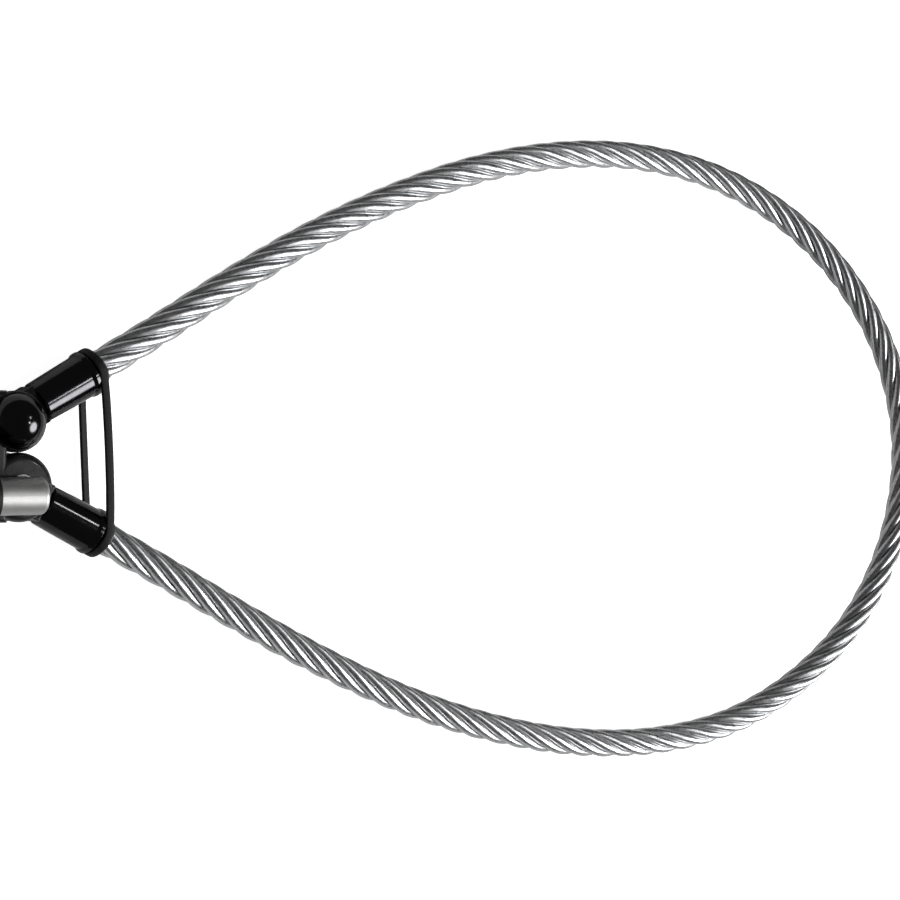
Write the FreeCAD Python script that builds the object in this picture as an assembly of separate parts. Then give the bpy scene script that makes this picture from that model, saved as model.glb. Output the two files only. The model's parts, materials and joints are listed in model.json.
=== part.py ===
import FreeCAD, Part
import math
import os

# Cable lock: a wire-rope loop with two crimped terminals, held in a die-cast key lock head.
#
# Frame: millimetres, +Z up, the lock lies flat.  The origin is the middle of the lock body's
# flat bottom face, +X points from the body to the loop, and +Y is the riveted terminal's side.
#
# The riveted terminal ("upper") swings on the pivot rivet.  The other terminal ("lower") is
# freed by a quarter turn of the key: a stud on the drive cam moves the locking pin up and down
# through the upper ear and the terminal's eye.  The lock is drawn closed and unlocked.

V = FreeCAD.Vector
X_AXIS = V(1, 0, 0)
Z_AXIS = V(0, 0, 1)

# ---------------------------------------------------------------- driving dimensions

# rope
rope_d = 10.0

# stack of the fork, from the bottom face up
lower_ear = 4.0
fork_gap = 0.4
eye_thick = 8.4
upper_ear = 3.6
mid_z = lower_ear + fork_gap + eye_thick / 2
fork_top = lower_ear + 2 * fork_gap + eye_thick
top_z = fork_top + upper_ear

# lock body
body_x0 = -17.5
body_x1 = 17.5
body_half_y = 19.2
corner_r = 5.0
top_round = 1.6
boss_round = 2.6
bottom_chamfer = 0.6
split_z = mid_z

# knuckles: place of each terminal's eye, its ear radius and the direction of its arm
upper_eye = V(29.0, 10.2, 0)
lower_eye = V(30.5, -9.0, 0)
upper_ear_r = 9.0
lower_ear_r = 10.2
upper_eye_r = 8.8
lower_eye_r = 9.9
upper_arm_deg = 29.4
lower_arm_deg = -27.4

# ferrule, measured along the arm from the eye's axis
ferrule_start = 10.8
shank_end = 17.4
rim_start = 28.4
rim_end = 30.4
mouth_end = 34.4
ferrule_r0 = 6.4
ferrule_r1 = 6.8
rim_r = 7.35
nose_r = 5.9
bore_clear = 0.05

# keeper band
band_d = 2.0
band_s = 32.0
band_lead = 2.0
band_clear = 0.02

# pivot rivet
rivet_r = 3.0
fixed_clear = 0.02
turn_clear = 0.05
dome_r = 8.2
dome_h = 6.2
flange_r = 8.7
flange_h = 0.7
tail_r = 4.4
tail_z = 0.4
tail_h = 1.6
tail_washer_h = 0.6
tail_pocket_r = 4.7
eye_bush_r = 4.6
wear_washer_h = 0.3
wear_washer_r = 7.6

# locking mechanism
stud_e = 2.8
stud_r = 0.8
half_turn = 45.0
pin_r = 2.5
pin_cap = 0.9
pin_groove_gap = 0.16
pin_tip_lift = 0.05
pin_web = 1.5
pin_bush_r = 3.8
pin_bush_clear = 0.05
lock_bush_r = 4.8
lock_bore_r = 2.8

# barrel and core, on one axis along X
barrel_r = 5.5
barrel_sink = 1.2
barrel_y = lower_eye.y - stud_e * (1 + math.cos(math.radians(half_turn))) / 2
barrel_z = top_z + barrel_r - barrel_sink
barrel_x0 = body_x0
barrel_x1 = 34.9
nose_cap_len = 1.7
nose_round = 1.3
core_r = 4.0
chamber_r = 4.85
chamber_x1 = barrel_x1 - nose_cap_len
core_x0 = barrel_x0 + 0.6
core_x1 = 3.0
core_head_r = 4.6
core_head_len = 1.2
keyway_len = 17.0
clip_groove_x = 0.5
clip_groove_w = 0.7
clip_r = 4.7
clip_depth = 0.7
barrel_step_x = clip_groove_x - 0.05
cam_r = 4.75
cam_x0 = 24.0
cam_x1 = lower_eye.x - pin_r - 0.4
tail_bar_h = 3.6
tail_bar_t = 2.0
tail_bar_grip = 1.6
wafer_count = 5
wafer_pitch = 2.6
wafer_t = 0.8
key_slot_h = 5.6
key_slot_t = 1.5

# barrel housing on the cover
housing_r = 7.7
housing_x1 = 19.0
seal_d = 1.2

# dust flap on the key end
flap_t = 1.2
flap_gap = 0.1
flap_r = 6.2
flap_pivot = V(body_x0, -1.0, 13.0)
flap_pivot_r = 1.5
flap_boss_r = 3.2
flap_washer_h = 0.3
flap_rivet_depth = 6.0
flap_head_r = 2.6
flap_head_h = 1.1

# screws and dowels
screw_r = 1.5
screw_head_r = 2.8
screw_head_h = 1.7
screw_top = 13.8
screw_places = [(-12.3, 13.8), (-12.3, -13.8), (12.3, 13.8), (12.3, -13.8)]
dowel_r = 1.5
dowel_len = 8.0
dowel_places = [(-8.5, 0.0), (13.2, 0.0)]
set_screw_x = -3.0
set_screw_bite = 0.7

# Route of the rope's middle line, from inside the upper ferrule, round the loop, to inside the
# lower ferrule.  The first two and the last two points lie on the ferrules' axes.
rope_route = [
    (44.2, 18.8, 8.6),
    (72.6, 34.7, 8.6),
    (105.5, 54.6, 7.4),
    (138.5, 72.6, 6.0),
    (173.0, 88.1, 5.2),
    (209.0, 100.8, 5.1),
    (247.0, 108.9, 5.0),
    (285.0, 111.2, 5.6),
    (323.0, 106.0, 7.8),
    (358.0, 92.0, 10.8),
    (386.5, 70.0, 14.2),
    (407.0, 41.0, 17.2),
    (416.0, 5.0, 19.2),
    (410.5, -32.0, 18.0),
    (393.0, -64.0, 15.0),
    (366.0, -87.0, 11.2),
    (331.0, -102.5, 7.8),
    (293.0, -107.2, 5.6),
    (254.0, -104.6, 5.0),
    (216.0, -96.6, 5.1),
    (179.0, -84.6, 5.2),
    (143.0, -68.6, 6.0),
    (108.5, -50.8, 7.4),
    (74.9, -32.0, 8.6),
    (46.0, -17.0, 8.6),
]


# ---------------------------------------------------------------- shape helpers

def box(x0, x1, y0, y1, z0, z1):
    return Part.makeBox(x1 - x0, y1 - y0, z1 - z0, V(x0, y0, z0))


def rod(r, start, axis, length):
    """Solid round bar from the point start, along axis."""
    return Part.makeCylinder(r, length, start, axis)


def ring(r_out, r_in, start, axis, length):
    """Plain tube from the point start, along axis."""
    return rod(r_out, start, axis, length).cut(rod(r_in, start, axis, length))


def lathe(profile, start, axis):
    """Turned solid: profile is a closed list of (distance along axis, radius)."""
    edges = []
    points = [V(r, 0, s) for s, r in profile]
    for a, b in zip(points, points[1:] + points[:1]):
        edges.append(Part.makeLine(a, b))
    face = Part.Face(Part.Wire(edges))
    solid = face.revolve(V(0, 0, 0), Z_AXIS, 360)
    solid.Placement = FreeCAD.Placement(start, FreeCAD.Rotation(Z_AXIS, axis))
    return solid


def upright_edges(shape):
    return [e for e in shape.Edges
            if len(e.Vertexes) == 2
            and abs(e.Vertexes[0].X - e.Vertexes[1].X) < 1e-6
            and abs(e.Vertexes[0].Y - e.Vertexes[1].Y) < 1e-6]


def edges_at_z(shape, z):
    return [e for e in shape.Edges if abs(e.BoundBox.ZMin - z) < 1e-6 and abs(e.BoundBox.ZMax - z) < 1e-6]


def smooth_edges(points, reach=0.45):
    """Straight runs joined by tangent arcs; reach is each arc's share of its shorter run."""
    edges = []
    radii = []
    here = points[0]
    for a, b, c in zip(points, points[1:], points[2:]):
        run_in = (b - a).Length
        run_out = (c - b).Length
        d_in = (b - a).normalize()
        d_out = (c - b).normalize()
        half = d_in.getAngle(d_out) / 2
        tangent = reach * min(run_in, run_out)
        start = b - d_in * tangent
        end = b + d_out * tangent
        radius = tangent / math.tan(half)
        inward = (d_out - d_in).normalize()
        middle = b + inward * (radius / math.cos(half) - radius)
        edges.append(Part.LineSegment(here, start).toShape())
        edges.append(Part.Arc(start, middle, end).toShape())
        radii.append(radius)
        here = end
    edges.append(Part.LineSegment(here, points[-1]).toShape())
    return edges, radii


def sweep_round(edges, d):
    """Round bar of diameter d along a smooth chain of edges."""
    wire = Part.Wire(edges)
    first = edges[0]
    start = first.valueAt(first.FirstParameter)
    heading = first.tangentAt(first.FirstParameter)
    circle = Part.Wire(Part.makeCircle(d / 2, start, heading))
    return wire.makePipeShell([circle], True, True)


def arm_frame(eye, deg):
    """Middle of an eye at the rope's height, and the unit direction of its arm."""
    a = math.radians(deg)
    return V(eye.x, eye.y, mid_z), V(math.cos(a), math.sin(a), 0)


arms = {
    "upper": arm_frame(upper_eye, upper_arm_deg),
    "lower": arm_frame(lower_eye, lower_arm_deg),
}


# ---------------------------------------------------------------- lock body

def ear(eye, r, z0, z1, top, bottom):
    """Round ear with a rounded top edge or a chamfered bottom edge."""
    disc = rod(r, V(eye.x, eye.y, z0), Z_AXIS, z1 - z0)
    if top:
        disc = disc.makeFillet(top, edges_at_z(disc, z1))
    if bottom:
        disc = disc.makeChamfer(bottom, edges_at_z(disc, z0))
    return disc


def block(z0, z1, top, bottom):
    """Body block with round corners, a rounded top edge or a chamfered bottom edge."""
    solid = box(body_x0, body_x1, -body_half_y, body_half_y, z0, z1)
    solid = solid.makeFillet(corner_r, upright_edges(solid))
    if top:
        solid = solid.makeFillet(top, edges_at_z(solid, z1))
    if bottom:
        solid = solid.makeChamfer(bottom, edges_at_z(solid, z0))
    return solid


def ear_plate(z0, z1, top, bottom, boss):
    """Both ears and the strap that joins them to the block; boss is the lower ear's top round."""
    strap_x1 = upper_eye.x - 3.0
    strap = box(body_x1 - 6.0, strap_x1, -body_half_y, body_half_y, z0, z1)
    if top:
        strap = strap.makeFillet(top, edges_at_z(strap, z1))
    if bottom:
        strap = strap.makeChamfer(bottom, edges_at_z(strap, z0))
    ears = ear(upper_eye, upper_ear_r, z0, z1, top * 0.5, bottom)
    ears = ears.fuse(ear(lower_eye, lower_ear_r, z0, z1, boss, bottom))
    return strap.fuse(ears)


def screw_holes():
    holes = []
    for x, y in screw_places:
        head = rod(screw_head_r + 0.1, V(x, y, 0), Z_AXIS, screw_head_h)
        shaft = rod(screw_r + fixed_clear, V(x, y, 0), Z_AXIS, screw_top + 0.3)
        holes.append(head.fuse(shaft))
    return holes


def dowel_holes():
    start = split_z - dowel_len / 2
    return [rod(dowel_r + fixed_clear, V(x, y, start), Z_AXIS, dowel_len) for x, y in dowel_places]


def make_body_base():
    solid = block(0, split_z, 0, bottom_chamfer)
    solid = solid.fuse(ear_plate(0, lower_ear, 0, bottom_chamfer, 0))
    pocket_h = tail_h + tail_washer_h + 0.4
    cuts = screw_holes() + dowel_holes()
    cuts.append(rod(rivet_r + fixed_clear, upper_eye, Z_AXIS, lower_ear))
    cuts.append(rod(tail_pocket_r, upper_eye, Z_AXIS, pocket_h))
    return solid.cut(cuts).removeSplitter()


def make_body_cover():
    solid = block(split_z, top_z, top_round, 0)
    solid = solid.fuse(ear_plate(fork_top, top_z, top_round, 0, boss_round))
    length = housing_x1 - body_x0
    start = V(body_x0, barrel_y, barrel_z)
    housing = rod(housing_r, start, X_AXIS, length)
    housing = housing.fuse(box(body_x0, housing_x1, barrel_y - housing_r, barrel_y + housing_r,
                               top_z - 2.5, barrel_z))
    solid = solid.fuse(housing).removeSplitter()
    cuts = screw_holes() + dowel_holes()
    cuts.append(rod(barrel_r, V(body_x0 - 1, barrel_y, barrel_z), X_AXIS, barrel_x1 - body_x0 + 10))
    seal_r = barrel_r + seal_d
    cuts.append(rod(seal_r, V(housing_x1 - seal_d, barrel_y, barrel_z), X_AXIS, seal_d + 1))
    cuts.append(rod(rivet_r + fixed_clear, V(upper_eye.x, upper_eye.y, fork_top), Z_AXIS, upper_ear))
    cuts.append(rod(pin_bush_r, V(lower_eye.x, lower_eye.y, fork_top), Z_AXIS, upper_ear))
    cuts.append(rod(screw_r + fixed_clear, V(set_screw_x, barrel_y, split_z), Z_AXIS, 8))
    cuts.append(rod(flap_pivot_r + fixed_clear, flap_pivot, X_AXIS, flap_rivet_depth + 0.5))
    return solid.cut(cuts).removeSplitter()


def make_cover_screws():
    """Four countersunk screws with a hexagon socket, put in from below."""
    solids = []
    for x, y in screw_places:
        z0 = 0.2
        profile = [(0, 0), (0, screw_head_r), (0.3, screw_head_r), (screw_head_h - 0.2, screw_r),
                   (screw_top - z0, screw_r), (screw_top - z0, 0)]
        screw = lathe(profile, V(x, y, z0), Z_AXIS)
        corners = [V(x + 1.1 * math.cos(math.radians(60 * k)), y + 1.1 * math.sin(math.radians(60 * k)), z0)
                   for k in range(6)]
        socket = Part.Face(Part.makePolygon(corners + corners[:1])).extrude(V(0, 0, 1.2))
        solids.append(screw.cut(socket))
    return Part.makeCompound(solids)


def make_dowel_pins():
    start = split_z - dowel_len / 2 + 0.1
    length = dowel_len - 0.2
    bevel = 0.3
    profile = [(0, 0), (0, dowel_r - bevel), (bevel, dowel_r), (length - bevel, dowel_r),
               (length, dowel_r - bevel), (length, 0)]
    return Part.makeCompound([lathe(profile, V(x, y, start), Z_AXIS) for x, y in dowel_places])


# ---------------------------------------------------------------- pivot of the upper terminal

def make_pivot_rivet():
    """Domed head on top, shank through the fork, flattened tail in the base's pocket."""
    seat = top_z + flange_h
    sphere_r = (dome_r ** 2 + dome_h ** 2) / (2 * dome_h)
    sphere = Part.makeSphere(sphere_r, V(upper_eye.x, upper_eye.y, seat + dome_h - sphere_r))
    dome = sphere.common(rod(dome_r + 1, V(upper_eye.x, upper_eye.y, seat), Z_AXIS, dome_h + 1))
    shank = rod(rivet_r, V(upper_eye.x, upper_eye.y, tail_z), Z_AXIS, seat - tail_z)
    tail_profile = [(0, 0), (0, tail_r - 0.8), (0.6, tail_r), (tail_h, tail_r), (tail_h, 0)]
    tail = lathe(tail_profile, V(upper_eye.x, upper_eye.y, tail_z), Z_AXIS)
    return dome.fuse([shank, tail]).removeSplitter()


def make_rivet_flange():
    bevel = 0.25
    r_in = rivet_r + fixed_clear
    profile = [(0, r_in), (0, flange_r), (flange_h - bevel, flange_r), (flange_h, flange_r - bevel),
               (flange_h, r_in)]
    return lathe(profile, V(upper_eye.x, upper_eye.y, top_z), Z_AXIS)


def make_rivet_tail_washer():
    z0 = tail_z + tail_h
    return ring(tail_r + 0.1, rivet_r + fixed_clear, V(upper_eye.x, upper_eye.y, z0), Z_AXIS, tail_washer_h)


def make_wear_washers():
    """Thin plastic washers on the inner faces of both ears, round the rivet."""
    low = ring(wear_washer_r, rivet_r + fixed_clear,
               V(upper_eye.x, upper_eye.y, lower_ear), Z_AXIS, wear_washer_h)
    high = ring(wear_washer_r, rivet_r + fixed_clear,
                V(upper_eye.x, upper_eye.y, fork_top - wear_washer_h), Z_AXIS, wear_washer_h)
    return Part.makeCompound([low, high])


# ---------------------------------------------------------------- barrel and core

def barrel_point(x):
    return V(x, barrel_y, barrel_z)


def make_lock_barrel():
    outer = rod(barrel_r, barrel_point(barrel_x0), X_AXIS, chamber_x1 - barrel_x0)
    bore = rod(core_r + turn_clear, barrel_point(barrel_x0), X_AXIS, barrel_step_x - barrel_x0)
    mouth = rod(core_head_r + turn_clear, barrel_point(barrel_x0), X_AXIS, core_head_len + 0.7)
    chamber = rod(chamber_r, barrel_point(barrel_step_x), X_AXIS, chamber_x1 - barrel_step_x)
    pin_hole = rod(pin_r + pin_bush_clear,
                   V(lower_eye.x, lower_eye.y, barrel_z - barrel_r - 1), Z_AXIS, barrel_r + 1)
    dimple = rod(screw_r, V(set_screw_x, barrel_y, barrel_z - barrel_r - 1), Z_AXIS, 1 + set_screw_bite)
    return outer.cut([bore, mouth, chamber, pin_hole, dimple]).removeSplitter()


def make_barrel_nose_cap():
    """Rounded cap that closes the barrel over the boss."""
    spigot = 0.9
    body_len = barrel_x1 - chamber_x1
    r = barrel_r
    n = nose_round
    k = n * (1 - math.sqrt(0.5))
    outline = [
        Part.LineSegment(V(0, 0, 0), V(r, 0, 0)).toShape(),
        Part.LineSegment(V(r, 0, 0), V(r, 0, body_len - n)).toShape(),
        Part.Arc(V(r, 0, body_len - n), V(r - k, 0, body_len - k), V(r - n, 0, body_len)).toShape(),
        Part.LineSegment(V(r - n, 0, body_len), V(0, 0, body_len)).toShape(),
        Part.LineSegment(V(0, 0, body_len), V(0, 0, 0)).toShape(),
    ]
    cap = Part.Face(Part.Wire(outline)).revolve(V(0, 0, 0), Z_AXIS, 360)
    cap.Placement = FreeCAD.Placement(barrel_point(chamber_x1), FreeCAD.Rotation(Z_AXIS, X_AXIS))
    plug_x0 = chamber_x1 - spigot
    plug = ring(chamber_r - fixed_clear, chamber_r - 0.9, barrel_point(plug_x0), X_AXIS, spigot)
    room = rod(pin_r + 0.6, V(lower_eye.x, lower_eye.y, barrel_z - barrel_r), Z_AXIS, 2 * barrel_r)
    bored_room = room.common(rod(chamber_r, barrel_point(plug_x0), X_AXIS, spigot))
    return cap.fuse(plug).cut(bored_room).removeSplitter()


def make_barrel_seal():
    """Rubber ring between the housing and the barrel."""
    centre = barrel_point(housing_x1 - seal_d / 2)
    return Part.makeTorus(barrel_r + seal_d / 2, seal_d / 2 - fixed_clear, centre, X_AXIS)


def make_barrel_set_screw():
    z1 = barrel_z - barrel_r + set_screw_bite - 0.1
    z0 = z1 - 5.0
    length = z1 - z0
    profile = [(0, 0), (0, screw_r), (length - 0.7, screw_r), (length, screw_r - 0.7), (length, 0)]
    screw = lathe(profile, V(set_screw_x, barrel_y, z0), Z_AXIS)
    slot = box(set_screw_x - 2, set_screw_x + 2, barrel_y - 0.25, barrel_y + 0.25, z0, z0 + 0.8)
    return screw.cut(slot)


def make_lock_core():
    """Plug with the keyway, the wafer slots and a cross slot for the tail bar."""
    core = rod(core_r, barrel_point(core_x0), X_AXIS, core_x1 - core_x0)
    core = core.fuse(rod(core_head_r, barrel_point(core_x0), X_AXIS, core_head_len))
    keyway = box(core_x0, core_x0 + keyway_len, barrel_y - key_slot_t / 2, barrel_y + key_slot_t / 2,
                 barrel_z - key_slot_h / 2, barrel_z + key_slot_h / 2)
    rib = box(core_x0, core_x0 + keyway_len, barrel_y, barrel_y + key_slot_t,
              barrel_z - 1.6, barrel_z - 0.8)
    cuts = [keyway, rib, tail_bar(core_x1 - tail_bar_grip, core_x1, 0.05)]
    for x in wafer_places():
        cuts.append(wafer(x, 0.05))
    cuts.append(ring(core_r + 1, core_r - clip_depth, barrel_point(clip_groove_x), X_AXIS, clip_groove_w))
    return core.cut(cuts).removeSplitter()


def wafer_places():
    return [core_x0 + 3.6 + wafer_pitch * k for k in range(wafer_count)]


def wafer(x, extra=0.0):
    """Flat plate across the core, inside the core's own radius."""
    half_w = 2.3 + extra
    half_h = 3.05 + extra
    return box(x - wafer_t / 2 - extra, x + wafer_t / 2 + extra, barrel_y - half_w, barrel_y + half_w,
               barrel_z - half_h, barrel_z + half_h)


def make_core_wafers():
    """Plates with a key window; each window is a little higher or lower than the next."""
    plates = []
    for k, x in enumerate(wafer_places()):
        shift = 0.3 * ((k * 2) % 3 - 1)
        window = box(x - wafer_t, x + wafer_t, barrel_y - 1.2, barrel_y + 1.2,
                     barrel_z + shift - 2.1, barrel_z + shift + 2.1)
        plates.append(wafer(x).cut(window))
    return Part.makeCompound(plates)


def make_core_clip():
    """Open ring in the core's groove, against the step in the barrel's bore."""
    x = clip_groove_x + 0.05
    clip = ring(clip_r, core_r - clip_depth + fixed_clear, barrel_point(x), X_AXIS, clip_groove_w - 0.1)
    gap = box(x - 1, x + 2, barrel_y - 1.4, barrel_y + 1.4, barrel_z - clip_r - 1, barrel_z - 1)
    return clip.cut(gap)


def tail_bar(x0, x1, extra=0.0):
    return box(x0, x1, barrel_y - tail_bar_t / 2 - extra, barrel_y + tail_bar_t / 2 + extra,
               barrel_z - tail_bar_h / 2 - extra, barrel_z + tail_bar_h / 2 + extra)


def make_tail_bar():
    return tail_bar(core_x1 - tail_bar_grip, cam_x0 + tail_bar_grip)


def make_drive_cam():
    """Disc with the eccentric stud; at rest the stud stands half_turn above the middle."""
    disc = rod(cam_r, barrel_point(cam_x0), X_AXIS, cam_x1 - cam_x0)
    disc = disc.cut(tail_bar(cam_x0, cam_x0 + tail_bar_grip, 0.05))
    stud_x1 = lower_eye.x + pin_r - pin_web - 0.3
    stud = rod(stud_r, stud_centre(cam_x1 - 0.2), X_AXIS, stud_x1 - cam_x1 + 0.2)
    return disc.fuse(stud).removeSplitter()


def stud_centre(x):
    a = math.radians(half_turn)
    return V(x, barrel_y + stud_e * math.cos(a), barrel_z + stud_e * math.sin(a))


def make_locking_pin():
    """Round pin with a cross groove for the stud; its top clears the barrel's round wall."""
    tip = 0.4
    z_stud = stud_centre(0).z
    z0 = fork_top + pin_tip_lift
    z_top = z_stud + stud_r + pin_groove_gap + pin_cap
    profile = [(0, 0), (0, pin_r - tip), (tip, pin_r), (z_top - z0, pin_r), (z_top - z0, 0)]
    pin = lathe(profile, V(lower_eye.x, lower_eye.y, z0), Z_AXIS)
    groove_h = stud_r + pin_groove_gap
    groove = box(lower_eye.x - pin_r - 1, lower_eye.x + pin_r - pin_web, lower_eye.y - 4, lower_eye.y + 4,
                 z_stud - groove_h, z_stud + groove_h)
    reach = 2 * pin_r
    below = box(lower_eye.x - reach, lower_eye.x + reach,
                lower_eye.y - reach, lower_eye.y + reach, 0, barrel_z)
    room = rod(chamber_r - 0.1, barrel_point(lower_eye.x - reach), X_AXIS, 2 * reach).fuse(below)
    return pin.cut(groove).common(room).removeSplitter()


def make_pin_guide_bush():
    """Steel bush in the upper ear, cut to the barrel's round underside."""
    bush = ring(pin_bush_r, pin_r + pin_bush_clear, V(lower_eye.x, lower_eye.y, fork_top), Z_AXIS, upper_ear)
    return bush.cut(rod(barrel_r, barrel_point(housing_x1), X_AXIS, barrel_x1 - housing_x1))


# ---------------------------------------------------------------- dust flap

def flap_x1():
    return body_x0 - flap_gap - flap_washer_h


def make_dust_flap():
    """Flat swing cover with a raised thumb tab, pivoted beside the key hole."""
    x1 = flap_x1()
    x0 = x1 - flap_t
    centre = V(x0, barrel_y, barrel_z)
    pivot = V(x0, flap_pivot.y, flap_pivot.z)
    span = centre - pivot
    side = V(0, -span.z, span.y).normalize()
    corners = [pivot + side * flap_boss_r, centre + side * (flap_r * 0.82),
               centre - side * (flap_r * 0.82), pivot - side * flap_boss_r]
    link = Part.Face(Part.makePolygon(corners + corners[:1])).extrude(V(flap_t, 0, 0))
    plate = rod(flap_r, centre, X_AXIS, flap_t).fuse([rod(flap_boss_r, pivot, X_AXIS, flap_t), link])
    plate = plate.removeSplitter()
    hole = rod(flap_pivot_r + turn_clear, pivot, X_AXIS, flap_t)
    out = (centre - pivot).normalize()
    tab = rod(1.5, centre + out * (flap_r - 2.0) - X_AXIS * 0.9, X_AXIS, 1.2)
    return plate.cut(hole).fuse(tab).removeSplitter()


def make_flap_rivet():
    x1 = flap_x1()
    x0 = x1 - flap_t - 0.1
    bevel = 0.4
    end = flap_head_h + x1 - x0 + flap_rivet_depth
    profile = [(0, 0), (0, flap_head_r - bevel), (bevel, flap_head_r), (flap_head_h, flap_head_r),
               (flap_head_h, flap_pivot_r), (end, flap_pivot_r), (end, 0)]
    return lathe(profile, V(x0 - flap_head_h, flap_pivot.y, flap_pivot.z), X_AXIS)


def make_flap_washer():
    start = V(body_x0 - flap_washer_h, flap_pivot.y, flap_pivot.z)
    return ring(flap_boss_r - 0.2, flap_pivot_r + fixed_clear, start, X_AXIS, flap_washer_h)


# ---------------------------------------------------------------- terminals on the rope

def make_terminal(side):
    """Eye, flat neck and the shank that the ferrule is crimped on."""
    centre, along = arms[side]
    eye_r = upper_eye_r if side == "upper" else lower_eye_r
    bush_r = eye_bush_r if side == "upper" else lock_bush_r
    low = V(centre.x, centre.y, centre.z - eye_thick / 2)
    bevel = 0.5
    profile = [(0, 0), (0, eye_r - bevel), (bevel, eye_r), (eye_thick - bevel, eye_r),
               (eye_thick, eye_r - bevel), (eye_thick, 0)]
    eye = lathe(profile, low, Z_AXIS)
    neck_half = ferrule_r0 - 0.5
    neck = Part.makeBox(ferrule_start, 2 * neck_half, eye_thick, V(0, -neck_half, -eye_thick / 2))
    neck.Placement = FreeCAD.Placement(centre, FreeCAD.Rotation(X_AXIS, along))
    shank_r = rope_d / 2
    shank = rod(shank_r, centre + along * (ferrule_start - 3), along, shank_end - ferrule_start + 3)
    reach = 2 * shank_end
    slab = box(centre.x - reach, centre.x + reach, centre.y - reach, centre.y + reach,
               low.z, low.z + eye_thick)
    inner_shank = shank.common(slab)
    outer_shank = rod(shank_r, centre + along * ferrule_start, along, shank_end - ferrule_start)
    solid = eye.fuse([neck, inner_shank, outer_shank])
    return solid.cut(rod(bush_r, low, Z_AXIS, eye_thick)).removeSplitter()


def make_eye_bush(side):
    centre, _ = arms[side]
    r_out = eye_bush_r if side == "upper" else lock_bush_r
    r_in = rivet_r + turn_clear if side == "upper" else lock_bore_r
    low = V(centre.x, centre.y, centre.z - eye_thick / 2)
    return ring(r_out, r_in, low, Z_AXIS, eye_thick)


def make_ferrule(side):
    """Crimped sleeve with a rolled rim before its mouth."""
    centre, along = arms[side]
    r_in = rope_d / 2 + bore_clear
    round_r = 0.8
    outline = [
        (ferrule_start, r_in),
        (ferrule_start, ferrule_r0 - round_r),
        (ferrule_start + 0.25, ferrule_r0 - 0.25),
        (ferrule_start + round_r, ferrule_r0),
        (rim_start - 0.6, ferrule_r1),
        (rim_start, rim_r - 0.15),
        (rim_start + 0.5, rim_r),
        (rim_end - 0.5, rim_r),
        (rim_end, rim_r - 0.5),
        (rim_end, r_in),
    ]
    return lathe(outline, centre, along)


def make_nose_sleeve(side):
    """Plastic sleeve in the ferrule's mouth; the band lies round it."""
    centre, along = arms[side]
    r_in = rope_d / 2 + bore_clear
    outline = [
        (rim_end, r_in),
        (rim_end, nose_r),
        (band_s + band_d / 2, nose_r),
        (mouth_end - 0.3, nose_r - 0.45),
        (mouth_end, nose_r - 0.7),
        (mouth_end, r_in),
    ]
    return lathe(outline, centre, along)


def make_keeper_band():
    """Endless rubber cord round both nose sleeves."""
    wrap_r = nose_r + band_d / 2 + band_clear
    corners = {}
    wraps = {}
    for side in ("upper", "lower"):
        centre, along = arms[side]
        middle = centre + along * band_s
        outward = Z_AXIS.cross(along) if side == "upper" else along.cross(Z_AXIS)
        top = middle + Z_AXIS * wrap_r
        bottom = middle - Z_AXIS * wrap_r
        wraps[side] = (top, middle + outward * wrap_r, bottom)
        corners[side] = (top - outward * band_lead, bottom - outward * band_lead)
    up_top, up_out, up_bottom = wraps["upper"]
    low_top, low_out, low_bottom = wraps["lower"]
    over, _ = smooth_edges([up_top, corners["upper"][0], corners["lower"][0], low_top], 0.9)
    under, _ = smooth_edges([low_bottom, corners["lower"][1], corners["upper"][1], up_bottom], 0.9)
    edges = over + [Part.Arc(low_top, low_out, low_bottom).toShape()]
    edges = edges + under + [Part.Arc(up_bottom, up_out, up_top).toShape()]
    return sweep_round(edges, band_d)


def make_wire_rope():
    points = [V(*p) for p in rope_route]
    edges, radii = smooth_edges(points)
    rope = sweep_round(edges, rope_d)
    length = sum(e.Length for e in edges)
    section = math.pi * rope_d ** 2 / 4
    print("rope length %.1f mm, volume / (section x length) = %.4f" % (length, rope.Volume / (section * length)))
    print("rope bend radii " + ", ".join("%.0f" % r for r in radii))
    print("rope runs " + ", ".join("%.0f" % (b - a).Length for a, b in zip(points, points[1:])))
    return rope


# ---------------------------------------------------------------- the nodes

parts = {}
parts["body_base"] = make_body_base()
parts["body_cover"] = make_body_cover()
parts["cover_screws"] = make_cover_screws()
parts["dowel_pins"] = make_dowel_pins()
parts["pivot_rivet"] = make_pivot_rivet()
parts["rivet_flange"] = make_rivet_flange()
parts["rivet_tail_washer"] = make_rivet_tail_washer()
parts["wear_washers"] = make_wear_washers()
parts["pin_guide_bush"] = make_pin_guide_bush()
parts["lock_barrel"] = make_lock_barrel()
parts["barrel_nose_cap"] = make_barrel_nose_cap()
parts["barrel_seal"] = make_barrel_seal()
parts["barrel_set_screw"] = make_barrel_set_screw()
parts["flap_rivet"] = make_flap_rivet()
parts["flap_washer"] = make_flap_washer()
parts["dust_flap"] = make_dust_flap()
parts["lock_core"] = make_lock_core()
parts["core_wafers"] = make_core_wafers()
parts["core_clip"] = make_core_clip()
parts["tail_bar"] = make_tail_bar()
parts["drive_cam"] = make_drive_cam()
parts["locking_pin"] = make_locking_pin()
for side in ("upper", "lower"):
    parts["terminal_" + side] = make_terminal(side)
    parts["eye_bush_" + side] = make_eye_bush(side)
    parts["ferrule_" + side] = make_ferrule(side)
    parts["nose_sleeve_" + side] = make_nose_sleeve(side)
parts["keeper_band"] = make_keeper_band()
parts["wire_rope"] = make_wire_rope()

os.makedirs("parts", exist_ok=True)
for name, shape in parts.items():
    shape.exportStep("parts/" + name + ".step")
    print("%-18s valid %s, %d solids, %.2f cm3" % (name, shape.isValid(), len(shape.Solids), shape.Volume / 1000))
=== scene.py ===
import json
import math

import bpy
import numpy as np
from mathutils import Matrix, Vector


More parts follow.
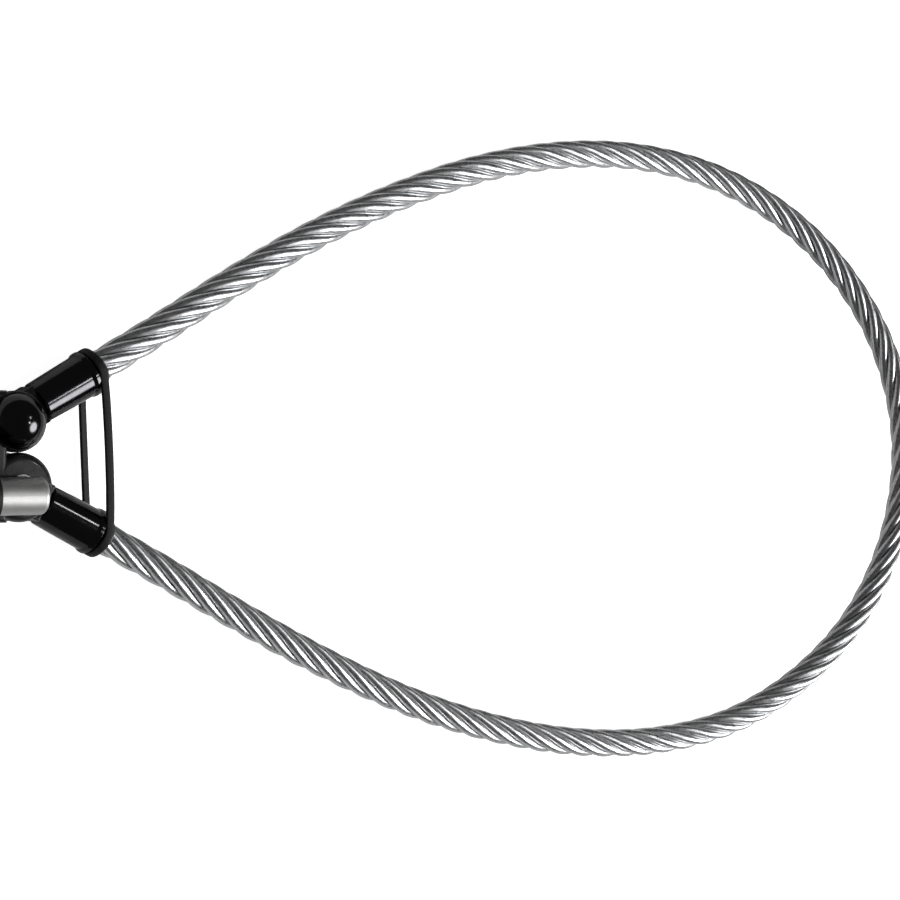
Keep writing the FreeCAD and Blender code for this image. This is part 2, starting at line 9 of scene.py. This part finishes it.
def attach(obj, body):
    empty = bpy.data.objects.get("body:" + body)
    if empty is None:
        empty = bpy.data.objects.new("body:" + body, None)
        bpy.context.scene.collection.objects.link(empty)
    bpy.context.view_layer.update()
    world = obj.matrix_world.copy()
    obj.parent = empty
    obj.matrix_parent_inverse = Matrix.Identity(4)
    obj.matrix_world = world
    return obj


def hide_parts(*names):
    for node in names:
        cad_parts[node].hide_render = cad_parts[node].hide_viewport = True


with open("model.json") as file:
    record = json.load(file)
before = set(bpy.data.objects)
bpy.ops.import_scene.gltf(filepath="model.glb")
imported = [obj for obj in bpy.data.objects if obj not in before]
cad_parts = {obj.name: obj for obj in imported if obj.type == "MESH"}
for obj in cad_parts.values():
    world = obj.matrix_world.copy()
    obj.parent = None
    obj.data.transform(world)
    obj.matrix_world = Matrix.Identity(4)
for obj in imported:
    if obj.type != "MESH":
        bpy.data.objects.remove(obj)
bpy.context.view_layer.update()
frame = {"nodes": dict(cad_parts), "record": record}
MM = 0.001

# ---------------------------------------------------------------- sizes shared with the CAD model

ROPE_D = 10.0 * MM
ROPE_ROUTE_MM = [
    (44.2, 18.8, 8.6),
    (72.6, 34.7, 8.6),
    (105.5, 54.6, 7.4),
    (138.5, 72.6, 6.0),
    (173.0, 88.1, 5.2),
    (209.0, 100.8, 5.1),
    (247.0, 108.9, 5.0),
    (285.0, 111.2, 5.6),
    (323.0, 106.0, 7.8),
    (358.0, 92.0, 10.8),
    (386.5, 70.0, 14.2),
    (407.0, 41.0, 17.2),
    (416.0, 5.0, 19.2),
    (410.5, -32.0, 18.0),
    (393.0, -64.0, 15.0),
    (366.0, -87.0, 11.2),
    (331.0, -102.5, 7.8),
    (293.0, -107.2, 5.6),
    (254.0, -104.6, 5.0),
    (216.0, -96.6, 5.1),
    (179.0, -84.6, 5.2),
    (143.0, -68.6, 6.0),
    (108.5, -50.8, 7.4),
    (74.9, -32.0, 8.6),
    (46.0, -17.0, 8.6),
]

STRANDS = 6
STRAND_R = ROPE_D / 6
STRAND_HELIX_R = ROPE_D / 3
ROPE_LAY = 61.0 * MM
WIRES = 12
WIRE_LAY = 34.0 * MM
WIRE_RELIEF = 0.014 * MM
VERTS_PER_WIRE = 4
ROPE_RINGS = 600
ROPE_PHASE = 0.4
CORE_AROUND = 12
# Painted groove shade on the rope: where it starts from the rope's middle, how far in it reaches full, and how much
# the gaps between wires get.
GAP_START = 4.15 * MM
GAP_DEPTH = 1.6 * MM
WIRE_GAP_SHADE = 0.18

FLOOR_HALF = 3.0
FLOOR_GLOW = 0.95
FLOOR_GLOW_LOW = 0.0
WALL_GLOW = 13.0
ROOM_GLOW = 0.07
WALL_DIRECTION = (0.754, -0.314, 0.576)
WALL_STRETCH = (1.0, 1.0, 1.0)
WALL_COSINES = (0.955, 0.975)


# ---------------------------------------------------------------- materials

class Graph:
    """Small helper for building one node material around a Principled shader."""

    def __init__(self, name, **uniform):
        self.material = bpy.data.materials.new(name)
        self.material.use_nodes = True
        self.nodes = self.material.node_tree.nodes
        self.links = self.material.node_tree.links
        self.shader = self.nodes["Principled BSDF"]
        for socket, value in uniform.items():
            self.shader.inputs[socket.replace("_", " ")].default_value = value
        coords = self.nodes.new("ShaderNodeTexCoord")
        in_mm = self.nodes.new("ShaderNodeVectorMath")
        in_mm.operation = "SCALE"
        in_mm.inputs["Scale"].default_value = 1000.0
        self.links.new(coords.outputs["Object"], in_mm.inputs[0])
        self.mm = in_mm.outputs[0]

    def put(self, output, socket):
        self.links.new(output, self.shader.inputs[socket])

    def stretched(self, x, y, z):
        """Coordinates in millimetres, multiplied per axis."""
        node = self.nodes.new("ShaderNodeVectorMath")
        node.operation = "MULTIPLY"
        node.inputs[1].default_value = (x, y, z)
        self.links.new(self.mm, node.inputs[0])
        return node.outputs[0]

    def noise(self, scale, detail=3.0, roughness=0.5, vector=None):
        node = self.nodes.new("ShaderNodeTexNoise")
        node.inputs["Scale"].default_value = scale
        node.inputs["Detail"].default_value = detail
        node.inputs["Roughness"].default_value = roughness
        self.links.new(vector or self.mm, node.inputs["Vector"])
        return node.outputs["Fac"]

    def span(self, value, low, high, to_low, to_high):
        """Maps low..high of a value to to_low..to_high, clamped."""
        node = self.nodes.new("ShaderNodeMapRange")
        node.inputs["From Min"].default_value = low
        node.inputs["From Max"].default_value = high
        node.inputs["To Min"].default_value = to_low
        node.inputs["To Max"].default_value = to_high
        self.links.new(value, node.inputs["Value"])
        return node.outputs["Result"]

    def mix(self, factor, a, b):
        node = self.nodes.new("ShaderNodeMix")
        node.data_type = "RGBA"
        self.links.new(factor, node.inputs["Factor"])
        for index, colour in ((6, a), (7, b)):
            if isinstance(colour, tuple):
                node.inputs[index].default_value = (*colour, 1.0)
            else:
                self.links.new(colour, node.inputs[index])
        return node.outputs[2]

    def math(self, operation, a, b):
        node = self.nodes.new("ShaderNodeMath")
        node.operation = operation
        for index, value in enumerate((a, b)):
            if isinstance(value, (int, float)):
                node.inputs[index].default_value = value
            else:
                self.links.new(value, node.inputs[index])
        return node.outputs[0]

    def attribute(self, name):
        node = self.nodes.new("ShaderNodeAttribute")
        node.attribute_name = name
        return node.outputs["Fac"]

    def rounded(self, radius):
        """Normal with the sharp edges rounded off, and a mask that is 1 at those edges."""
        bevel = self.nodes.new("ShaderNodeBevel")
        bevel.samples = 4
        bevel.inputs["Radius"].default_value = radius
        plain = self.nodes.new("ShaderNodeNewGeometry")
        dot = self.nodes.new("ShaderNodeVectorMath")
        dot.operation = "DOT_PRODUCT"
        self.links.new(bevel.outputs[0], dot.inputs[0])
        self.links.new(plain.outputs["Normal"], dot.inputs[1])
        return bevel.outputs[0], self.span(dot.outputs["Value"], 0.97, 0.8, 0.0, 1.0)

    def bump(self, height, distance, strength=1.0, normal=None):
        node = self.nodes.new("ShaderNodeBump")
        node.inputs["Distance"].default_value = distance
        node.inputs["Strength"].default_value = strength
        self.links.new(height, node.inputs["Height"])
        if normal is not None:
            self.links.new(normal, node.inputs["Normal"])
        return node.outputs["Normal"]


def black_chrome():
    g = Graph("black_chrome", Metallic=1.0)
    normal, edge = g.rounded(0.25 * MM)
    haze = g.noise(0.22, 4.0)
    worn = g.math("MULTIPLY", edge, g.span(g.noise(1.6, 4.0), 0.42, 0.62, 0.0, 1.0))
    tone = g.mix(haze, (0.034, 0.034, 0.036), (0.056, 0.056, 0.058))
    g.put(g.mix(g.math("MULTIPLY", worn, 0.3), tone, (0.40, 0.40, 0.41)), "Base Color")
    g.put(g.span(g.noise(1.1, 5.0, 0.6), 0.3, 0.75, 0.09, 0.16), "Roughness")
    g.put(g.bump(g.noise(5.0, 2.0), 0.01 * MM, 0.4, normal), "Normal")
    return g.material


def cast_black():
    g = Graph("cast_black", Metallic=0.0, Specular_IOR_Level=0.3, Coat_Weight=0.4, Coat_Roughness=0.12)
    normal, edge = g.rounded(0.4 * MM)
    worn = g.math("MULTIPLY", edge, g.span(g.noise(0.9, 5.0), 0.45, 0.65, 0.0, 1.0))
    tone = g.mix(g.noise(0.12, 4.0), (0.006, 0.006, 0.007), (0.014, 0.014, 0.015))
    g.put(g.mix(g.math("MULTIPLY", worn, 0.4), tone, (0.15, 0.15, 0.155)), "Base Color")
    g.put(g.span(g.noise(0.7, 5.0, 0.6), 0.3, 0.75, 0.26, 0.40), "Roughness")
    grain = g.bump(g.noise(1.9, 3.0, 0.6), 0.04 * MM, 0.5, normal)
    g.put(g.bump(g.noise(0.35, 2.0), 0.15 * MM, 0.35, grain), "Normal")
    return g.material


def turned_steel(name, dark, light, low, high, lines):
    """Plain or nickel-plated steel with fine turning or brushing lines, along the given axis scales."""
    g = Graph(name, Metallic=1.0)
    normal, edge = g.rounded(0.15 * MM)
    brushed = g.noise(1.0, 3.0, 0.6, g.stretched(*lines))
    blotch = g.noise(0.35, 4.0, 0.55)
    grime = g.noise(1.3, 5.0, 0.65)
    tone = g.mix(g.math("ADD", g.math("MULTIPLY", brushed, 0.35), g.math("MULTIPLY", blotch, 0.65)), dark, light)
    g.put(g.mix(g.math("MULTIPLY", edge, 0.4), tone, light), "Base Color")
    g.put(g.math("ADD", g.span(grime, 0.3, 0.7, low, high), g.span(blotch, 0.3, 0.7, 0.0, 0.06)), "Roughness")
    g.put(g.bump(brushed, 0.012 * MM, 0.35, normal), "Normal")
    return g.material


def rope_steel():
    g = Graph("rope_steel", Metallic=1.0)
    deep = g.attribute("deep")
    mottle = g.noise(0.55, 4.0, 0.6)
    unshaded_steel = g.mix(mottle, (0.50, 0.505, 0.515), (0.72, 0.725, 0.735))
    # Nearly black where the 'deep' mask is high: painted shade in the grooves between strands and wires, and over
    # the whole core.
    g.put(g.mix(g.span(deep, 0.15, 0.85, 0.0, 1.0), unshaded_steel, (0.035, 0.035, 0.037)), "Base Color")
    rough = g.math("ADD", g.span(mottle, 0.3, 0.7, 0.24, 0.32), g.math("MULTIPLY", deep, 0.3))
    g.put(rough, "Roughness")
    g.put(g.bump(g.noise(2.6, 3.0, 0.6), 0.02 * MM, 0.5), "Normal")
    return g.material


def brass():
    g = Graph("core_brass", Metallic=1.0)
    stain = g.noise(0.8, 5.0, 0.6)
    g.put(g.mix(stain, (0.46, 0.29, 0.09), (0.72, 0.50, 0.20)), "Base Color")
    g.put(g.span(stain, 0.3, 0.7, 0.20, 0.38), "Roughness")
    g.put(g.bump(g.noise(4.0, 3.0), 0.02 * MM, 0.4), "Normal")
    return g.material


def rubber():
    g = Graph("black_rubber", Metallic=0.0, Specular_IOR_Level=0.22, Sheen_Weight=0.05)
    dust = g.noise(0.7, 5.0, 0.65)
    g.put(g.mix(g.span(dust, 0.45, 0.8, 0.0, 1.0), (0.007, 0.007, 0.008), (0.022, 0.021, 0.021)), "Base Color")
    g.put(g.span(dust, 0.3, 0.7, 0.48, 0.68), "Roughness")
    g.put(g.bump(g.noise(3.5, 4.0, 0.6), 0.04 * MM, 0.5), "Normal")
    return g.material


def plastic(name, dark, light, low, high):
    g = Graph(name, Metallic=0.0, Specular_IOR_Level=0.5)
    g.put(g.mix(g.noise(0.5, 4.0), dark, light), "Base Color")
    g.put(g.span(g.noise(1.4, 4.0), 0.3, 0.7, low, high), "Roughness")
    g.put(g.bump(g.noise(2.6, 3.0, 0.6), 0.03 * MM, 0.5), "Normal")
    return g.material


MATERIALS = {
    "cast_body": cast_black(),
    "black_chrome": black_chrome(),
    "dark_steel": turned_steel("dark_steel", (0.05, 0.05, 0.053), (0.22, 0.22, 0.23), 0.24, 0.36, (1.5, 1.5, 6.0)),
    "plain_steel": turned_steel("plain_steel", (0.30, 0.30, 0.31), (0.66, 0.66, 0.67), 0.22, 0.34, (6.0, 6.0, 1.0)),
    "barrel_nickel": turned_steel("barrel_nickel", (0.40, 0.40, 0.395), (0.64, 0.635, 0.63), 0.40, 0.52,
                                  (0.5, 5.0, 5.0)),
    "rope_steel": rope_steel(),
    "core_brass": brass(),
    "black_rubber": rubber(),
    "black_plastic": plastic("black_plastic", (0.012, 0.012, 0.012), (0.030, 0.030, 0.031), 0.34, 0.50),
    "washer_plastic": plastic("washer_plastic", (0.32, 0.31, 0.28), (0.55, 0.54, 0.50), 0.40, 0.55),
}


def finish_piece(obj, body, slot, *stands_for):
    """Rides a new piece on its body, with its slot's material, and hides the CAD nodes that it stands for."""
    obj.data.materials.clear()
    obj.data.materials.append(MATERIALS[slot])
    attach(obj, body)
    if stands_for:
        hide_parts(*stands_for)
    return obj


# ---------------------------------------------------------------- carried-over CAD nodes

slot_of = {entry["node"]: entry["material_slot"] for entry in frame["record"]["subparts"]}
for name, obj in frame["nodes"].items():
    obj.data.materials.clear()
    obj.data.materials.append(MATERIALS[slot_of[name]])


# ---------------------------------------------------------------- mesh helpers

def mesh_piece(name, vertices, faces, smooth=True):
    """New linked mesh object made from vertices and faces."""
    mesh = bpy.data.meshes.new(name)
    mesh.from_pydata([tuple(v) for v in vertices], [], [tuple(f) for f in faces])
    mesh.validate()
    if smooth:
        mesh.polygons.foreach_set("use_smooth", [True] * len(mesh.polygons))
    mesh.update()
    obj = bpy.data.objects.new(name, mesh)
    bpy.context.scene.collection.objects.link(obj)
    return obj


def tube_faces(rings, around, first=0):
    """Quads of a tube whose rings follow each other, with an end cap at each end."""
    i = np.arange(rings - 1)[:, None] * around
    j = np.arange(around)[None, :]
    k = (j + 1) % around
    quads = np.stack([i + j, i + k, i + around + k, i + around + j], axis=-1).reshape(-1, 4) + first
    caps = [list(range(first, first + around))[::-1],
            list(range(first + (rings - 1) * around, first + rings * around))]
    return quads.tolist() + caps


def line_points(points, count, name, order=3):
    """Evenly spaced points on the NURBS spline whose control points are given."""
    curve = bpy.data.curves.new(name, "CURVE")
    curve.dimensions = "3D"
    curve.resolution_u = 40
    spline = curve.splines.new("NURBS")
    spline.points.add(len(points) - 1)
    for point, place in zip(spline.points, points):
        point.co = (*place, 1.0)
    spline.order_u = order
    spline.use_endpoint_u = True
    obj = bpy.data.objects.new(name, curve)
    bpy.context.scene.collection.objects.link(obj)
    bpy.context.view_layer.update()
    evaluated = obj.evaluated_get(bpy.context.evaluated_depsgraph_get())
    mesh = bpy.data.meshes.new_from_object(evaluated)
    line = np.array([v.co for v in mesh.vertices], float)
    bpy.data.meshes.remove(mesh)
    bpy.data.objects.remove(obj)
    bpy.data.curves.remove(curve)
    run = np.concatenate([[0.0], np.cumsum(np.linalg.norm(np.diff(line, axis=0), axis=1))])
    even = np.linspace(0.0, run[-1], count)
    return np.stack([np.interp(even, run, line[:, a]) for a in range(3)], axis=1), even


def unit(v):
    return v / np.linalg.norm(v, axis=-1, keepdims=True)


def carried_frames(line):
    """Tangent, normal and binormal along a line, turned as little as possible from point to point."""
    tangent = unit(np.gradient(line, axis=0))
    normal = np.zeros_like(line)
    normal[0] = unit(np.cross(np.array([0.0, 0.0, 1.0]), tangent[0]))
    for i in range(1, len(line)):
        kept = normal[i - 1] - tangent[i] * np.dot(normal[i - 1], tangent[i])
        normal[i] = unit(kept)
    return tangent, normal, np.cross(tangent, normal)


# ---------------------------------------------------------------- rope

def strand(centre, run, frames, index):
    """One strand: rings of wires laid against the rope's own lay. Gives vertices and a painted-shade mask, highest
    in the grooves.
    """
    tangent, normal, binormal = frames
    angle = 2 * np.pi * (run / ROPE_LAY + index / STRANDS) + ROPE_PHASE
    out = np.cos(angle)[:, None] * normal + np.sin(angle)[:, None] * binormal
    middle = centre + STRAND_HELIX_R * out
    along = unit(np.gradient(middle, axis=0))
    outward = unit(out - along * np.sum(out * along, axis=1, keepdims=True))
    sideways = np.cross(along, outward)
    around = WIRES * VERTS_PER_WIRE
    step = np.arange(around)
    lobe = np.abs(np.sin(np.pi * step / VERTS_PER_WIRE))
    radius = STRAND_R - WIRE_RELIEF * (1 - lobe)
    turn = 2 * np.pi * (step[None, :] / around - run[:, None] / WIRE_LAY)
    vertices = (middle[:, None, :]
                + (radius * np.cos(turn))[:, :, None] * outward[:, None, :]
                + (radius * np.sin(turn))[:, :, None] * sideways[:, None, :])
    # Painted shade mask: rises towards the rope's middle, into the grooves between strands, plus a little in the
    # gaps between wires.
    reach = np.linalg.norm(vertices - centre[:, None, :], axis=2)
    wire_gap = (1 - lobe)[None, :] * WIRE_GAP_SHADE
    deep = np.clip((GAP_START - reach) / GAP_DEPTH, 0.0, 1.0) + wire_gap
    return vertices.reshape(-1, 3), np.clip(deep, 0.0, 1.0).reshape(-1)


def build_rope():
    """Six strands and a core on the cable body, in place of the plain CAD rope, which is hidden."""
    route = [tuple(c * MM for c in p) for p in ROPE_ROUTE_MM]
    centre, run = line_points(route, ROPE_RINGS, "rope_line")
    frames = carried_frames(centre)
    around = WIRES * VERTS_PER_WIRE
    pieces = []
    for index in range(STRANDS):
        vertices, deep = strand(centre, run, frames, index)
        obj = mesh_piece(f"rope_strand_{index + 1}", vertices, tube_faces(ROPE_RINGS, around))
        mask = obj.data.attributes.new("deep", "FLOAT", "POINT")
        mask.data.foreach_set("value", deep)
        pieces.append(obj)
    turn = 2 * np.pi * np.arange(CORE_AROUND) / CORE_AROUND
    tangent, normal, binormal = frames
    ring = (np.cos(turn)[None, :, None] * normal[:, None, :] + np.sin(turn)[None, :, None] * binormal[:, None, :])
    core = (centre[:, None, :] + STRAND_R * ring)[::2]
    core_obj = mesh_piece("rope_core", core.reshape(-1, 3), tube_faces(core.shape[0], CORE_AROUND))
    # The whole core is painted in full shade, nearly black.
    mask = core_obj.data.attributes.new("deep", "FLOAT", "POINT")
    mask.data.foreach_set("value", np.ones(core.shape[0] * CORE_AROUND))
    first = pieces[0]
    finish_piece(first, "cable", "rope_steel", "wire_rope")
    for obj in pieces[1:] + [core_obj]:
        finish_piece(obj, "cable", "rope_steel")


build_rope()


# ---------------------------------------------------------------- keeper band

NOSES = {
    "upper": ((29.0, 10.2), 29.4, 1.0),
    "lower": ((30.5, -9.0), -27.4, -1.0),
}
ROPE_Z = 8.6
NOSE_R = 5.9
BAND_W = 2.6
BAND_T = 1.2
BAND_ALONG = (32.1, 31.75)
BAND_HANDLE = 3.2
BAND_BOW = 1.4
BAND_TWIST = math.radians(20.0)
BAND_EASE = 0.22
BAND_CLEAR = 0.02
BAND_AROUND = 20
BAND_SQUARENESS = 0.45


def nose_wrap(side, steps=28):
    """Band's middle line and outward normals round the outside of one nose, from top to bottom."""
    (eye_x, eye_y), degrees, sign = NOSES[side]
    a = math.radians(degrees)
    along = np.array([math.cos(a), math.sin(a), 0.0])
    outward = np.array([-math.sin(a), math.cos(a), 0.0]) * sign
    up = np.array([0.0, 0.0, 1.0])
    turn = np.linspace(math.pi / 2, -math.pi / 2, steps)
    out = np.cos(turn)[:, None] * outward + np.sin(turn)[:, None] * up
    top, bottom = BAND_ALONG
    place = top + (bottom - top) * (1 - np.sin(turn)) / 2
    centre = np.array([eye_x, eye_y, ROPE_Z])
    radius = NOSE_R + BAND_T / 2 + BAND_CLEAR
    return centre + place[:, None] * along + radius * out, out, outward


def free_strand(start, leaving, end, arriving, normal, bow, steps=56):
    """Straight stretch of the band between the noses, easing out of one wrap and into the other."""
    t = np.linspace(0.0, 1.0, steps)[1:-1, None]
    b = start + leaving * BAND_HANDLE
    c = end - arriving * BAND_HANDLE
    line = (1 - t) ** 3 * start + 3 * (1 - t) ** 2 * t * b + 3 * (1 - t) * t ** 2 * c + t ** 3 * end
    line[:, 0] -= bow * np.sin(np.pi * t[:, 0]) ** 0.7
    return line, np.repeat(normal[None, :], len(t), axis=0), t[:, 0]


def build_keeper_band():
    """Endless flat band round both nose sleeves, straight between them."""
    up = np.array([0.0, 0.0, 1.0])
    wrap_u, out_u, outward_u = nose_wrap("upper")
    wrap_l, out_l, outward_l = nose_wrap("lower")
    front, front_n, _ = free_strand(wrap_u[0], -outward_u, wrap_l[0], outward_l, up, 0.0)
    rear, rear_n, t = free_strand(wrap_l[-1], -outward_l, wrap_u[-1], outward_u, -up, BAND_BOW)
    line = np.concatenate([front, wrap_l, rear, wrap_u[::-1]])
    normal = np.concatenate([front_n, out_l, rear_n, out_u[::-1]])
    twist = np.zeros(len(line))
    ease = np.clip(np.minimum(t, 1 - t) / BAND_EASE, 0.0, 1.0)
    first = len(front) + len(wrap_l)
    twist[first:first + len(rear)] = BAND_TWIST * ease * ease * (3 - 2 * ease)
    tangent = unit(np.roll(line, -1, axis=0) - np.roll(line, 1, axis=0))
    normal = unit(normal - tangent * np.sum(normal * tangent, axis=1, keepdims=True))
    wide = np.cross(tangent, normal)
    face = np.cos(twist)[:, None] * normal + np.sin(twist)[:, None] * wide
    wide = np.cross(tangent, face)
    around = BAND_AROUND
    turn = 2 * np.pi * np.arange(around) / around
    across = np.sign(np.cos(turn)) * np.abs(np.cos(turn)) ** BAND_SQUARENESS * BAND_W / 2
    deep = np.sign(np.sin(turn)) * np.abs(np.sin(turn)) ** BAND_SQUARENESS * BAND_T / 2
    rings = line[:, None, :] + across[None, :, None] * wide[:, None, :] + deep[None, :, None] * face[:, None, :]
    count = len(line)
    i = np.arange(count)[:, None] * around
    j = np.arange(around)[None, :]
    k = (j + 1) % around
    following = (np.arange(count)[:, None] + 1) % count * around
    quads = np.stack([i + j, i + k, following + k, following + j], axis=-1).reshape(-1, 4)
    band = mesh_piece("keeper_band_flat", (rings * MM).reshape(-1, 3), quads)
    finish_piece(band, "cable", "black_rubber", "keeper_band")


build_keeper_band()


# ---------------------------------------------------------------- floor, light and camera

def build_floor():
    """White floor, brighter to the camera than to reflections. It is scenery, not part of the object."""
    half = FLOOR_HALF
    floor = mesh_piece("floor", [(-half, -half, 0), (half, -half, 0), (half, half, 0), (-half, half, 0)],
                       [(0, 1, 2, 3)], smooth=False)
    g = Graph("floor_white", Metallic=0.0, Specular_IOR_Level=0.0, Roughness=0.9)
    g.put(g.mix(g.noise(0.01, 2.0), (0.80, 0.80, 0.80), (0.82, 0.82, 0.82)), "Base Color")
    g.shader.inputs["Emission Color"].default_value = (1.0, 1.0, 1.0, 1.0)
    seen = g.nodes.new("ShaderNodeLightPath")
    g.put(g.span(seen.outputs["Is Camera Ray"], 0.0, 1.0, FLOOR_GLOW_LOW, FLOOR_GLOW), "Emission Strength")
    floor.data.materials.append(g.material)


def area_light(name, direction, distance, width, height, power, target=(0.05, 0.0, 0.015)):
    """Rectangular light seen from the target in a direction, facing it; width runs along Y."""
    light = bpy.data.lights.new(name, "AREA")
    light.shape = "RECTANGLE"
    light.size = width
    light.size_y = height
    light.energy = power
    obj = bpy.data.objects.new(name, light)
    away = Vector(direction).normalized()
    obj.location = Vector(target) + away * distance
    side = Vector((0.0, 1.0, 0.0)) if abs(away.y) < 0.7 else Vector((1.0, 0.0, 0.0))
    side = (side - away * side.dot(away)).normalized()
    up = away.cross(side)
    obj.matrix_world = Matrix.Translation(obj.location) @ Matrix((side, up, away)).transposed().to_4x4()
    bpy.context.scene.collection.objects.link(obj)


def build_world():
    """Dark room with one bright patch, and plain white behind the object for the camera."""
    world = bpy.data.worlds.new("studio")
    bpy.context.scene.world = world
    world.use_nodes = True
    nodes = world.node_tree.nodes
    links = world.node_tree.links
    nodes.clear()
    coords = nodes.new("ShaderNodeTexCoord")
    dot = nodes.new("ShaderNodeVectorMath")
    dot.operation = "DOT_PRODUCT"
    dot.inputs[1].default_value = Vector(WALL_DIRECTION).normalized()
    stretch = nodes.new("ShaderNodeVectorMath")
    stretch.operation = "MULTIPLY"
    stretch.inputs[1].default_value = WALL_STRETCH
    level = nodes.new("ShaderNodeVectorMath")
    level.operation = "NORMALIZE"
    links.new(coords.outputs["Generated"], stretch.inputs[0])
    links.new(stretch.outputs[0], level.inputs[0])
    links.new(level.outputs[0], dot.inputs[0])
    ramp = nodes.new("ShaderNodeMapRange")
    ramp.interpolation_type = "SMOOTHSTEP"
    ramp.inputs["From Min"].default_value = WALL_COSINES[0]
    ramp.inputs["From Max"].default_value = WALL_COSINES[1]
    ramp.inputs["To Min"].default_value = ROOM_GLOW
    ramp.inputs["To Max"].default_value = WALL_GLOW
    links.new(dot.outputs["Value"], ramp.inputs["Value"])
    seen = nodes.new("ShaderNodeLightPath")
    plain = nodes.new("ShaderNodeMix")
    plain.data_type = "FLOAT"
    plain.inputs[3].default_value = 1.0
    links.new(seen.outputs["Is Camera Ray"], plain.inputs[0])
    links.new(ramp.outputs["Result"], plain.inputs[2])
    background = nodes.new("ShaderNodeBackground")
    background.inputs["Color"].default_value = (1.0, 1.0, 1.0, 1.0)
    links.new(plain.outputs[0], background.inputs["Strength"])
    output = nodes.new("ShaderNodeOutputWorld")
    links.new(background.outputs[0], output.inputs["Surface"])


def build_camera():
    camera = bpy.data.cameras.new("camera")
    camera.sensor_width = 36.0
    camera.lens = 80.0
    camera.clip_start = 0.01
    camera.clip_end = 20.0
    obj = bpy.data.objects.new("camera", camera)
    obj.location = (-0.220, 0.0019, 0.5553)
    obj.rotation_euler = (0.0, math.radians(-37.0), 0.0)
    bpy.context.scene.collection.objects.link(obj)
    bpy.context.scene.camera = obj


build_floor()
build_world()
area_light("light_key", (0.50, -0.09, 0.86), 1.6, 0.16, 0.09, 1.3)
area_light("light_strip", (0.55, 0.229, 0.80), 1.6, 0.16, 0.07, 1.1)
build_camera()
bpy.context.scene.view_settings.view_transform = "Standard"
